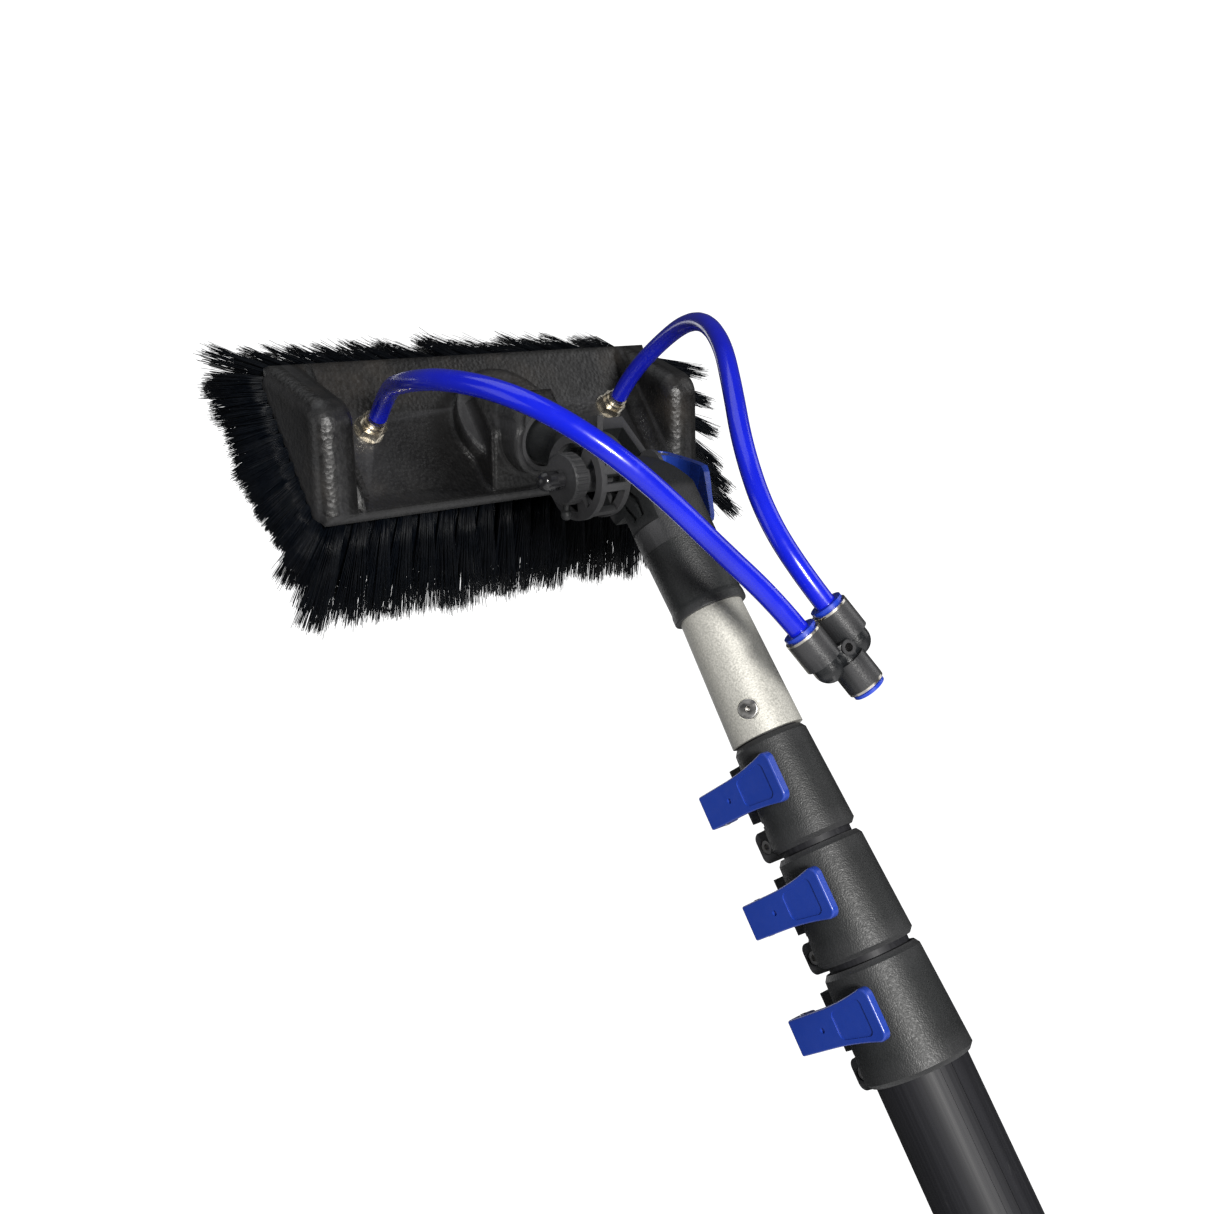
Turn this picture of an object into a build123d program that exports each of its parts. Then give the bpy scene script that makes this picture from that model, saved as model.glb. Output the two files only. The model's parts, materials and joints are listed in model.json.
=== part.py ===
"""Telescopic window-washing pole with a flared brush, a tilting head and a water tee."""
from build123d import *
from math import cos, pi, radians, sin, tan
import os

# ---- driving dimensions, mm -------------------------------------------------------------
TUBE_DIAMETERS = [24.0, 28.0, 32.0, 36.0]   # innermost section first
TUBE_WALL = 1.5
CLAMP_3_Z = 1000.0                          # underside of the lowest clamp
CLAMP_PITCH = 44.8
CLAMP_HEIGHT = 42.3
CLAMP_SEAT = 20.0                           # depth that a clamp reaches down over its section
CLAMP_FLOOR_RADII = [16.82, 19.0, 21.05]    # outer radius at a clamp's lower edge
CLAMP_TAPER = 0.048                         # radius lost per mm of height
LIP_Z = CLAMP_3_Z + 186.5                   # lower lip of the cone socket

BOLT_Y = 10.0                               # tilt axis of the head, parallel to X
BOLT_Z = LIP_Z + 71.0
KNUCKLE_HALF = 13.0
KNUCKLE_RADIUS = 15.8                       # the knuckle stays inside the cone's own cylinder

BLOCK_Z = LIP_Z + 133.5                     # middle of the brush block
BLOCK_HALF_LENGTH = 105.0
BLOCK_HALF_WIDTH = 36.5
BLOCK_EDGE_Y = 71.4
BLOCK_RIDGE_Y = 45.6
BLOCK_FLOOR_Y = 76.0
BLOCK_FACE_Y = 90.0                         # plateau that the middle tufts stand on
BRISTLE_FRONT_Y = 121.0
WALL_ROUNDING = 7.5                         # rims of the end walls
RIDGE_ROUNDING = 12.0                       # peak of the end walls
COVE_RADIUS = 8.0                           # hollow where an end wall meets the floor
JET_X = 68.0
JET_Z = BLOCK_Z + 4.0

HOSE_RADIUS = 4.0
HOSE_BORE = 2.5

LEVER_BOLT_Y = 25.2                         # tension bolt of a clamp, parallel to X
LEVER_MID = 25.7                            # lever's middle above the clamp's lower edge
CAM_RADIUS = 4.8

# telescopic sections
TUBE_FEET = [70.0, 46.0, 20.0, 6.0]         # lower end of each section, innermost first
FLUTES = [(241.5, 1.0, 0.35), (256.0, 1.6, 0.4)]   # azimuth, half width and depth on the outermost
SLEEVE_FOOT = LIP_Z - 53.8
SLEEVE_TOP = LIP_Z + 30.0
RIVET_AZIMUTH = 215.0
RIVET_Z = LIP_Z - 43.2

# clamps
WASHER_THICK = 1.6
BOLT_RADIUS = 1.9
LEVER_PIN_RADIUS = 1.5
LEVER_TIP_Y = -15.8
SLOT_HALF = 1.1
LUG_HALF = 8.5

# tilting head
STEM_ANGLE = 45.0                           # stem's rise above +Y
STEM_DIRECTION = Vector(0, cos(radians(STEM_ANGLE)), sin(radians(STEM_ANGLE)))
KNUCKLE_POCKETS = [                         # lightening pockets in the left face, (y, height)
    [(5.2, 60.0), (8.4, 60.4), (8.2, 64.6), (5.4, 64.0)],
    [(9.0, 54.2), (12.2, 54.6), (12.0, 59.2), (9.2, 58.6)],
    [(4.2, 58.2), (0.4, 51.4), (0.6, 45.4), (-2.2, 45.4), (-2.8, 52.4), (1.9, 59.9)],
    [(8.2, 53.3), (5.2, 45.2), (2.7, 45.9), (5.8, 54.1)],
]
CHEEK_SUNK = 0.95                           # recess in the knuckle for the right cheek
RIGHT_CHEEK_RADIUS = 7.6
RIGHT_CHEEK_X = 14.3
ARM_X = 17.0
CHEEK_OUTER = -28.5
CHEEK_RADIUS = 17.5
YOKE_RADIUS = 30.0                          # outside of the bridge behind the knuckle
BOLT_LEFT = -46.0
BOLT_HOLE = 3.05
BOLT_NECK = RIGHT_CHEEK_X                   # where the bolt steps down to enter the barrel nut
NECK_RADIUS = 1.8
BARREL_RADIUS = 2.8
BARREL_HALF = 5.3
CAM_WIDTH = 11.2
CAM_FACE_X = 15.25                          # face of the washer that the cam presses on
CAM_LEVER_X = 19.05                         # barrel nut's axis
CAM_LEAN = Vector(0, -cos(radians(STEM_ANGLE)), sin(radians(STEM_ANGLE)))

# brush and water fittings
HUB_BORE = 14.2
BARB_TIP_Y = 57.0
BARB_RADIUS = 2.4
HEX_RADIUS = 6.8
TEE_AXIS = Vector(0.452, 0.115, -0.885).normalized()
TEE_ACROSS = Vector(0.843, -0.379, 0.381)
TEE_ACROSS = (TEE_ACROSS - TEE_AXIS * TEE_ACROSS.dot(TEE_AXIS)).normalized()
TEE_MOUTH = Vector(-10.1, -56.2, LIP_Z - 27.0)
TEE_PITCH = 14.8
TEE_LENGTH = 34.0
BARREL_OUTER = 7.2                          # outer radius of the barrels of the tee
RING_BORE = 5.6                             # bore behind a collet, for its O-ring
COLLET_LIFT = 2.8                           # how far a collet stands out of its barrel
HOSE_START_Y = 64.6                         # end of a hose on its barb
HOSE_STRAIGHT = 13.0                        # last run before the tee
HOSE_SEATED = 5.5                           # depth that a hose reaches into the tee


def save(node, shape):
    """Write one node."""
    os.makedirs("parts", exist_ok=True)
    export_step(shape, f"parts/{node}.step")


def rod(start, end, radius):
    """Round bar between two points."""
    start = Vector(*start)
    end = Vector(*end)
    plane = Plane(origin=start, z_dir=end - start)
    return extrude(plane * Circle(radius), (end - start).length)


def ring(z_low, z_high, outer, inner):
    """Plain sleeve about the pole's axis."""
    height = z_high - z_low
    return Pos(0, 0, z_low) * (
        extrude(Circle(outer), height) - extrude(Circle(inner), height)
    )


def block(x_low, x_high, y_low, y_high, z_low, z_high):
    """Box from its six faces."""
    size = (x_high - x_low, y_high - y_low, z_high - z_low)
    middle = ((x_low + x_high) / 2, (y_low + y_high) / 2, (z_low + z_high) / 2)
    return Pos(*middle) * Box(*size)


def lathe(points):
    """Solid of revolution about the pole's axis from (radius, height) points."""
    return revolve(Plane.XZ * make_face(Polyline(*points, close=True)), Axis.Z)


def side_profile(points, x_low, x_high):
    """Outline of (y, z) points carried along X."""
    plane = Plane(origin=(x_low, 0, 0), x_dir=(0, 1, 0), z_dir=(1, 0, 0))
    return extrude(plane * make_face(Polyline(*points, close=True)), x_high - x_low)


def top_profile(points, z_low, z_high):
    """Outline of (x, y) points carried along Z."""
    plane = Plane.XY.offset(z_low)
    return extrude(plane * make_face(Polyline(*points, close=True)), z_high - z_low)


# ---- telescopic sections ----------------------------------------------------------------


def clamp_z(index):
    """Lower edge of clamp 0, 1 or 2, counted from the top."""
    return CLAMP_3_Z + CLAMP_PITCH * (2 - index)


def tube_top(index):
    """Upper end of a section: seated in its clamp, or in the sleeve for the innermost."""
    if index == 0:
        return LIP_Z - 13.8
    return clamp_z(index - 1) + CLAMP_SEAT


def tube_section(index):
    """One aluminium section; the outermost carries two shallow flutes."""
    outer = TUBE_DIAMETERS[index] / 2
    low = TUBE_FEET[index]
    high = tube_top(index)
    tube = ring(low, high, outer, outer - TUBE_WALL)
    if index == 0:
        return tube - rivet_axis() * Pos(0, 0, -6.0) * extrude(Circle(1.5), 9.0)
    if index < 3:
        return tube
    for azimuth, half_width, depth in FLUTES:
        cutter = block(outer - depth, outer + 1, -half_width, half_width, low - 1, high + 1)
        tube -= Rot(0, 0, azimuth) * cutter
    return tube


def guide_bush(index):
    """Sliding foot of a section: a collar below it and a stem inside it."""
    bore = TUBE_DIAMETERS[index + 1] / 2 - TUBE_WALL
    inside = TUBE_DIAMETERS[index] / 2 - TUBE_WALL
    foot = TUBE_FEET[index]
    bush = ring(foot - 9.0, foot, bore - 0.06, 5.0)
    bush += ring(foot, foot + 12.0, inside, 5.0)
    return bush


def base_cap():
    """Rubber foot: a ribbed cup over the lowest section."""
    radius = TUBE_DIAMETERS[3] / 2
    cap = ring(0, 38.0, radius + 2.4, radius)
    cap += extrude(Circle(radius + 2.4), TUBE_FEET[3])
    for count in range(4):
        cap += ring(8.0 + 7.0 * count, 11.5 + 7.0 * count, radius + 3.2, radius)
    return chamfer(cap.edges().group_by(Axis.Z)[0], 1.0)


def head_sleeve():
    """Tapered aluminium adapter over the innermost section."""
    tube = TUBE_DIAMETERS[0] / 2
    points = [
        (tube, SLEEVE_FOOT), (14.75, SLEEVE_FOOT), (13.2, LIP_Z), (12.6, SLEEVE_TOP),
        (tube - TUBE_WALL, SLEEVE_TOP), (tube - TUBE_WALL, tube_top(0)), (tube, tube_top(0)),
    ]
    sleeve = lathe(points)
    sleeve -= rivet_axis() * extrude(Circle(4.4), 3.0)
    return sleeve - rivet_axis() * Pos(0, 0, -6.0) * extrude(Circle(1.5), 9.0)


def rivet_axis():
    """Seat of the rivet head, its axis pointing out of the sleeve."""
    seat = 13.75
    angle = radians(RIVET_AZIMUTH)
    out = (cos(angle), sin(angle), 0)
    return Plane(origin=(seat * out[0], seat * out[1], RIVET_Z), z_dir=out).location


def sleeve_rivet():
    """Hollow blind rivet with a domed flange."""
    head = extrude(Circle(3.9), 1.1)
    head = fillet(head.edges().group_by(Axis.Z)[-1], 0.6)
    shank = Pos(0, 0, -4.6) * extrude(Circle(1.5), 4.6)
    tail = Pos(0, 0, -4.6) * extrude(Circle(1.5), 1.0)
    rivet = head + shank + tail
    return rivet_axis() * (rivet - Pos(0, 0, -2.0) * extrude(Circle(1.2), 4.0))


# ---- cam clamps -------------------------------------------------------------------------
def lever_x(index):
    """Distance of a lever's pin from the pole's axis along -X."""
    return -(CLAMP_FLOOR_RADII[index] - CLAMP_TAPER * LEVER_MID)


def ear_x(index):
    """Half width of a clamp's ears."""
    return -lever_x(index) - CAM_RADIUS - 0.1 - WASHER_THICK


def lug_y(index):
    """Axis of the screw in a clamp's lower lug."""
    return 18.5 + 0.35 * (TUBE_DIAMETERS[index + 1] - TUBE_DIAMETERS[1])


def clamp_body(index):
    """Split barrel with upper ears for the lever and a lower lug for the fixing screw."""
    low = clamp_z(index)
    high = low + CLAMP_HEIGHT
    floor = CLAMP_FLOOR_RADII[index]
    crown = floor - CLAMP_TAPER * CLAMP_HEIGHT
    barrel = lathe([
        (0, low), (floor - 1.6, low), (floor, low + 1.8), (crown + 0.1, high - 2.0),
        (crown - 1.3, high), (0, high),
    ])
    ear = ear_x(index)
    ears = block(-ear, ear, 4.0, 20.6, low + 14.5, low + 37.0)
    ears = fillet(ears.edges().filter_by(Axis.Z).group_by(Axis.Y)[-1], 2.5)
    eye = block(-ear, ear, 15.0, LEVER_BOLT_Y, low + LEVER_MID - 5.2, low + LEVER_MID + 5.2)
    eye += Pos(-ear, LEVER_BOLT_Y, low + LEVER_MID) * Rot(0, 90, 0) * extrude(Circle(5.2), 2 * ear)
    screw = lug_y(index)
    lug = block(-LUG_HALF, LUG_HALF, 4.0, screw + 3.9, low - 1.6, low + 10.8)
    lug = fillet(lug.edges().filter_by(Axis.X).group_by(Axis.Y)[-1], 3.2)
    body = barrel + ears + eye + lug
    grip = TUBE_DIAMETERS[index] / 2
    seat = TUBE_DIAMETERS[index + 1] / 2
    body -= Pos(0, 0, low - 2) * extrude(Circle(seat), CLAMP_SEAT + 2)
    body -= Pos(0, 0, low) * extrude(Circle(grip + 0.9), CLAMP_HEIGHT - 2.5)
    body -= Pos(0, 0, low) * extrude(Circle(grip + 0.35), CLAMP_HEIGHT + 1)
    body -= block(-SLOT_HALF, SLOT_HALF, 0, 40, low - 3, high + 1)
    body -= block(-30, 30, seat - 6.0, 40, low + 11.6, low + 13.2)
    body -= rod((-30, LEVER_BOLT_Y, low + LEVER_MID), (30, LEVER_BOLT_Y, low + LEVER_MID), BOLT_RADIUS)
    body -= rod((-30, screw, low + 4.6), (30, screw, low + 4.6), 1.5)
    body -= rod((-30, screw, low + 4.6), (-LUG_HALF + 3.2, screw, low + 4.6), 2.9)
    body -= rod((LUG_HALF - 2.6, screw, low + 4.6), (30, screw, low + 4.6), 2.9)
    return body


def clamp_liner(index):
    """Split friction ring that grips the sliding section."""
    low = clamp_z(index) + CLAMP_SEAT + 0.2
    high = clamp_z(index) + CLAMP_HEIGHT - 2.5
    grip = TUBE_DIAMETERS[index] / 2
    liner = ring(low, high, grip + 0.9, grip + 0.08)
    return liner - block(-SLOT_HALF, SLOT_HALF, 0, 40, low - 1, high + 1)


def lever_outline(middle):
    """Face of a clamp lever seen along X: waisted, with a rounded thumb end."""
    heel = LEVER_BOLT_Y + 6
    line = Polyline((12.0, middle - 7.2), (heel, middle - 6.9), (heel, middle + 6.9), (12.0, middle + 7.2))
    line += ThreePointArc((12.0, middle + 7.2), (-2.5, middle + 8.3), (LEVER_TIP_Y, middle + 10.8))
    line += Line((LEVER_TIP_Y, middle + 10.8), (LEVER_TIP_Y, middle - 10.2))
    line += ThreePointArc((LEVER_TIP_Y, middle - 10.2), (-2.5, middle - 8.1), (12.0, middle - 7.2))
    return make_face(line)


def clamp_lever(index):
    """Cam lever that lies along the barrel, wide at the thumb end."""
    pin = lever_x(index)
    middle = clamp_z(index) + LEVER_MID
    face = pin - CAM_RADIUS
    blade = block(face, face + 3.0, LEVER_TIP_Y, LEVER_BOLT_Y, middle - 12, middle + 12)
    cam = Pos(pin, LEVER_BOLT_Y, middle - 12) * extrude(Circle(CAM_RADIUS), 24)
    heel = block(face, pin, LEVER_BOLT_Y, LEVER_BOLT_Y + CAM_RADIUS, middle - 12, middle + 12)
    heel = fillet(heel.edges().filter_by(Axis.Z).group_by(Axis.Y)[-1].group_by(Axis.X)[0], 1.0)
    plane = Plane(origin=(face - 2, 0, 0), x_dir=(0, 1, 0), z_dir=(1, 0, 0))
    outline = extrude(plane * lever_outline(middle), pin + 10 - face)
    outline = fillet(outline.edges().filter_by(Axis.X).group_by(Axis.Y)[0], 3.4)
    lever = (blade + cam + heel) & outline
    rim = lever.faces().filter_by(Axis.X).sort_by(Axis.X)[0].outer_wire().edges()
    lever = fillet(rim, 0.8)
    pocket = side_profile(
        [(6.0, middle - 5.2), (6.0, middle + 5.2), (-11.0, middle + 7.4), (-11.0, middle - 6.8)],
        face - 1, face + 0.5,
    )
    lever -= fillet(pocket.edges().filter_by(Axis.X), 2.4)
    lever -= Pos(face - 1, 13.5, middle) * Rot(0, 90, 0) * extrude(Circle(1.1), 1.9)
    slot = 2.5
    lever -= block(pin - 3.4, pin + 8, LEVER_BOLT_Y - 6, LEVER_BOLT_Y + 8, middle - slot, middle + slot)
    return lever - rod((pin, LEVER_BOLT_Y, middle - 15), (pin, LEVER_BOLT_Y, middle + 15), LEVER_PIN_RADIUS)


def lever_pin(index):
    """Steel pin of a lever, parallel to the pole."""
    middle = clamp_z(index) + LEVER_MID
    x = lever_x(index)
    pin = rod((x, LEVER_BOLT_Y, middle - 7.3), (x, LEVER_BOLT_Y, middle + 7.3), LEVER_PIN_RADIUS)
    return chamfer(pin.edges().filter_by(GeomType.CIRCLE), 0.3)


def tension_bolt(index):
    """Eye bolt: its eye turns on the lever's pin and its shank crosses the ears."""
    pin = lever_x(index)
    middle = clamp_z(index) + LEVER_MID
    eye = Pos(pin, LEVER_BOLT_Y, middle - 2.2) * extrude(Circle(3.3), 4.4)
    shank = rod((pin, LEVER_BOLT_Y, middle), (ear_x(index) + 2.6, LEVER_BOLT_Y, middle), BOLT_RADIUS)
    bolt = eye + shank
    bore = LEVER_PIN_RADIUS + 0.05
    return bolt - rod((pin, LEVER_BOLT_Y, middle - 5), (pin, LEVER_BOLT_Y, middle + 5), bore)


def tension_nut(index):
    """Domed nut on the far side of the ears."""
    ear = ear_x(index)
    middle = clamp_z(index) + LEVER_MID
    plane = Plane(origin=(ear, LEVER_BOLT_Y, middle), z_dir=(1, 0, 0))
    nut = extrude(plane * RegularPolygon(3.9, 6), 2.4)
    dome = extrude(plane * Circle(3.1), 4.2)
    nut += fillet(dome.edges().group_by(Axis.X)[-1], 1.4)
    return nut - rod((ear - 1, LEVER_BOLT_Y, middle), (ear + 2.6, LEVER_BOLT_Y, middle), BOLT_RADIUS)


def cam_washer(index):
    """Pressure pad between a lever's cam and the ear."""
    ear = ear_x(index)
    middle = clamp_z(index) + LEVER_MID
    half = 4.4
    pad = block(
        -ear - WASHER_THICK, -ear, LEVER_BOLT_Y - half, LEVER_BOLT_Y + half, middle - 5.0, middle + 5.0)
    pad = fillet(pad.edges().filter_by(Axis.X), 1.2)
    return pad - rod((-30, LEVER_BOLT_Y, middle), (30, LEVER_BOLT_Y, middle), BOLT_RADIUS)


def lug_screw(index):
    """Socket-head screw with its nut in the lower lug."""
    level = clamp_z(index) + 4.6
    axis_y = lug_y(index)
    seat = -LUG_HALF + 3.2
    head = rod((seat - 2.6, axis_y, level), (seat, axis_y, level), 2.7)
    shank = rod((seat, axis_y, level), (LUG_HALF - 0.4, axis_y, level), 1.5)
    plane = Plane(origin=(seat - 2.6, axis_y, level), z_dir=(1, 0, 0))
    socket = extrude(plane * RegularPolygon(1.45, 6), 1.5)
    plane = Plane(origin=(LUG_HALF - 2.6, axis_y, level), z_dir=(1, 0, 0))
    nut = extrude(plane * RegularPolygon(2.8, 6), 2.2)
    return head + shank + nut - socket


# ---- tilting head -----------------------------------------------------------------------


def about_bolt(x_low, x_high, radius):
    """Disc about the tilt axis."""
    return rod((x_low, BOLT_Y, BOLT_Z), (x_high, BOLT_Y, BOLT_Z), radius)


def knuckle_outline():
    """Face of the knuckle seen along X: a leaning front that rolls over the bolt."""
    front = [(-15.8, LIP_Z + 30), (-15.8, LIP_Z + 34), (-8.8, LIP_Z + 57.3), (7.4, LIP_Z + 75.5)]
    crown = [(14.5, LIP_Z + 76.6), (19.0, LIP_Z + 70)]
    back = [(19.0, LIP_Z + 60), (15.8, LIP_Z + 50), (15.8, LIP_Z + 30), front[0]]
    line = Line(front[0], front[1]) + ThreePointArc(*front[1:])
    line += ThreePointArc(front[-1], *crown)
    line += Polyline(crown[-1], *back)
    return make_face(line)


def knuckle_slab(half):
    """The knuckle's outline carried from -half to half along X."""
    plane = Plane(origin=(-half, 0, 0), x_dir=(0, 1, 0), z_dir=(1, 0, 0))
    return extrude(plane * knuckle_outline(), 2 * half)


def head_lower():
    """Cone socket that rises into the rounded knuckle of the tilt joint."""
    shell = lathe([
        (0, LIP_Z), (15.1, LIP_Z), (15.3, LIP_Z + 0.6), (15.3, LIP_Z + 3.0),
        (14.9, LIP_Z + 5.0), (KNUCKLE_RADIUS, LIP_Z + 34.0), (0, LIP_Z + 34.0),
    ])
    slab = knuckle_slab(KNUCKLE_HALF)
    front = slab.edges().filter_by(lambda edge: abs(edge.center().X) > KNUCKLE_HALF - 0.1)
    front = front.filter_by(GeomType.CIRCLE)
    slab = fillet(front, 2.6)
    round_limit = Pos(0, 0, LIP_Z + 28) * extrude(Circle(KNUCKLE_RADIUS), 60)
    back_limit = block(-KNUCKLE_HALF, KNUCKLE_HALF, 0, 20, LIP_Z + 50, LIP_Z + 90)
    neck_limit = Pos(0, 0, LIP_Z + 28) * extrude(Circle(KNUCKLE_RADIUS), 12.0)
    part = shell + (slab & (round_limit + back_limit)) + (knuckle_slab(KNUCKLE_RADIUS) & neck_limit)
    part -= lathe([
        (0, LIP_Z - 1), (13.25, LIP_Z - 1), (13.2, LIP_Z), (12.6, SLEEVE_TOP), (0, SLEEVE_TOP),
    ])
    for outline in KNUCKLE_POCKETS:
        raised = [(y, LIP_Z + height) for y, height in outline]
        part -= side_profile(raised, -KNUCKLE_HALF - 1, -KNUCKLE_HALF + 1.8)
    part -= about_bolt(KNUCKLE_HALF - CHEEK_SUNK, KNUCKLE_HALF + 5, RIGHT_CHEEK_RADIUS + 0.4)
    return part - about_bolt(-30, 30, BOLT_HOLE)


def wedge(azimuth, span):
    """Sector about the tilt axis, measured from +Y towards +Z."""
    reach = 60.0
    points = [(BOLT_Y, BOLT_Z)]
    for step in range(5):
        angle = radians(azimuth + span * (step / 4 - 0.5))
        points.append((BOLT_Y + reach * cos(angle), BOLT_Z + reach * sin(angle)))
    return side_profile(points, -40, 40)


def drum_ring(x_low, x_high, wall):
    """Hoop of the open drum, wall thick, about the tilt axis."""
    return about_bolt(x_low, x_high, CHEEK_RADIUS) - about_bolt(-60, 60, CHEEK_RADIUS - wall)


def drum():
    """Open cage: two hoops, a hub, three spokes on each side, posts and one pointed tooth."""
    inner = -KNUCKLE_HALF - 0.35
    cage = drum_ring(CHEEK_OUTER, CHEEK_OUTER + 2.8, 3.6) + drum_ring(inner - 2.8, inner, 3.6)
    cage += about_bolt(CHEEK_OUTER, inner, 6.6)
    spokes = about_bolt(CHEEK_OUTER, CHEEK_OUTER + 2.2, CHEEK_RADIUS - 1)
    spokes += about_bolt(inner - 2.2, inner, CHEEK_RADIUS - 1)
    for azimuth in (45, 165, 285):
        cage += spokes & wedge(azimuth, 24.0)
    for azimuth in (30, 75, 120, 165, 225, 270, 315):
        cage += drum_ring(CHEEK_OUTER, inner, 2.6) & wedge(azimuth, 11.0)
    foot = BOLT_Z - 8
    tooth = Polyline((CHEEK_OUTER + 1, foot), (inner - 1, foot), (-21.0, BOLT_Z + 3), close=True)
    tooth = extrude(Plane.XZ * make_face(tooth), 30.0)
    return cage + (tooth & drum_ring(CHEEK_OUTER, inner, 2.2))


def head_upper():
    """Yoke with an open drum cheek, a plain cheek and the stem that fits the brush."""
    inner = KNUCKLE_HALF + 0.35
    cheek = about_bolt(KNUCKLE_HALF - CHEEK_SUNK + 0.3, RIGHT_CHEEK_X, RIGHT_CHEEK_RADIUS)
    bridge = about_bolt(-inner - 3.0, ARM_X, YOKE_RADIUS) - about_bolt(-40, 40, YOKE_RADIUS - 6.2)
    arms = about_bolt(-inner - 3.0, -inner, YOKE_RADIUS) + about_bolt(inner, RIGHT_CHEEK_X, YOKE_RADIUS)
    arms += about_bolt(inner, ARM_X, YOKE_RADIUS) - about_bolt(0, 40, RIGHT_CHEEK_RADIUS + 0.8)
    centre = Vector(0, BOLT_Y, BOLT_Z)
    root = centre + STEM_DIRECTION * 27.0
    part = drum() + cheek + ((bridge + arms) & wedge(STEM_ANGLE, 64.0))
    part += rod(root, centre + STEM_DIRECTION * 84.0, 11.0)
    part += rod(root, root + STEM_DIRECTION * 9.0, 14.0)
    for count in range(5):
        near = centre + STEM_DIRECTION * (56.0 + 5.0 * count)
        part += rod(near, near + STEM_DIRECTION * 2.4, 12.2)
    for azimuth in (95, 120):
        tab = about_bolt(-inner - 3.0, -inner, 24.0) - about_bolt(-40, 0, 12.0)
        part += tab & wedge(azimuth, 15.0)
    return part - about_bolt(-40, 30, BOLT_HOLE)


def cross_bolt():
    """Threaded tie rod of the tilt joint, its free end rounded and slotted."""
    bolt = rod((BOLT_LEFT + 3.4, BOLT_Y, BOLT_Z), (BOLT_NECK, BOLT_Y, BOLT_Z), 3.0)
    bolt += rod((BOLT_NECK, BOLT_Y, BOLT_Z), (CAM_LEVER_X + 2.0, BOLT_Y, BOLT_Z), NECK_RADIUS)
    bolt += Pos(BOLT_LEFT + 3.4, BOLT_Y, BOLT_Z) * Sphere(4.0)
    bolt += rod((BOLT_LEFT + 3.4, BOLT_Y, BOLT_Z), (-35.9, BOLT_Y, BOLT_Z), 4.0)
    for azimuth in (30, 150, 270):
        flute = about_bolt(BOLT_LEFT + 1.6, -38.0, 5.0) - about_bolt(BOLT_LEFT, -36.0, 3.2)
        bolt -= flute & wedge(azimuth, 34.0)
    return bolt


def barrel_axis(radius, half):
    """Bar along the barrel nut's axis."""
    middle = Vector(CAM_LEVER_X, BOLT_Y, BOLT_Z)
    return rod(middle - CAM_LEAN * half, middle + CAM_LEAN * half, radius)


def barrel_nut():
    """Cross pin that the cam lever turns on, bored for the bolt's neck."""
    return barrel_axis(BARREL_RADIUS, BARREL_HALF) - about_bolt(BOLT_NECK, CAM_LEVER_X + 2.0, NECK_RADIUS)


def knob_disc():
    """Knurled adjusting nut with one small lug for the thumb."""
    disc = about_bolt(-35.4, -28.9, 10.6)
    disc = chamfer(disc.edges().filter_by(GeomType.CIRCLE), 0.8)
    for count in range(24):
        angle = 15.0 * count
        notch = rod(
            (-37, BOLT_Y + 11.2 * cos(radians(angle)), BOLT_Z + 11.2 * sin(radians(angle))),
            (-28, BOLT_Y + 11.2 * cos(radians(angle)), BOLT_Z + 11.2 * sin(radians(angle))), 1.0,
        )
        disc -= notch
    lug_angle = radians(-52.0)
    near = (-32.4, BOLT_Y + 9.0 * cos(lug_angle), BOLT_Z + 9.0 * sin(lug_angle))
    far = (-32.4, BOLT_Y + 14.6 * cos(lug_angle), BOLT_Z + 14.6 * sin(lug_angle))
    disc += rod(near, far, 1.5)
    disc += Pos(*far) * Sphere(2.4)
    return disc - about_bolt(-40, -20, BOLT_HOLE)


def cam_pad():
    """Cupped plastic washer under the cam lever."""
    washer = about_bolt(BOLT_NECK + 0.1, CAM_FACE_X - 0.05, 6.5)
    return washer - about_bolt(BOLT_NECK - 1, CAM_LEVER_X, NECK_RADIUS)


def cam_plane():
    """Plane of the cam lever: X stays X, and Y runs down along the closed arm."""
    return Plane(origin=(CAM_LEVER_X, BOLT_Y, BOLT_Z), x_dir=(1, 0, 0), z_dir=CAM_LEAN * -1)


def cam_hook():
    """The lever seen along X: a straight head, an elbow and a thumb piece that hangs down."""
    points = [
        (9.4, 78.4), (-9.4, 59.6), (-10.4, 56.0), (-9.6, 51.0), (-6.4, 38.4), (-4.6, 36.6),
        (-0.4, 37.8), (0.6, 40.0), (-1.2, 51.0), (0.4, 56.0), (3.6, 60.0), (13.0, 66.6), (17.4, 70.4),
    ]
    hook = side_profile([(y, LIP_Z + height) for y, height in points], CAM_FACE_X - 1, CAM_LEVER_X + 9)
    corners = hook.edges().filter_by(Axis.X)
    return fillet(corners.group_by(Axis.Z)[0] + corners.group_by(Axis.Y)[0], 1.4)


def cam_lever():
    """Quick-release lever that hugs the knuckle when it is shut."""
    plane = cam_plane()
    outline = Polyline(
        (0, -3.7), (2.4, -3.0), (4.2, 0.0), (5.6, 8.0), (6.0, 16.0), (5.2, 22.0), (2.0, 29.0),
        (-0.6, 36.0), (-2.8, 36.0), (-0.6, 28.4), (2.0, 21.4), (2.4, 15.0), (1.2, 9.0), (-1.0, 3.7),
        close=True,
    )
    arm = extrude(plane * Pos(0, 0, -CAM_WIDTH / 2) * make_face(outline), 4 * CAM_WIDTH) & cam_hook()
    arm += barrel_axis(CAM_LEVER_X - CAM_FACE_X, CAM_WIDTH / 2)
    arm -= barrel_axis(BARREL_RADIUS + 0.05, 20.0)
    swept = Rectangle(20.0, 20.0, align=(Align.MAX, Align.MAX))
    arm -= extrude(plane * Pos(2.3, 2.3, -2.2) * swept, 4.4)
    notch = Polyline((1.4, 6.0), (3.8, 6.6), (2.6, 10.0), close=True)
    return arm - extrude(plane * Pos(0, 0, -CAM_WIDTH / 2 - 1) * make_face(notch), 3.6)


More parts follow.
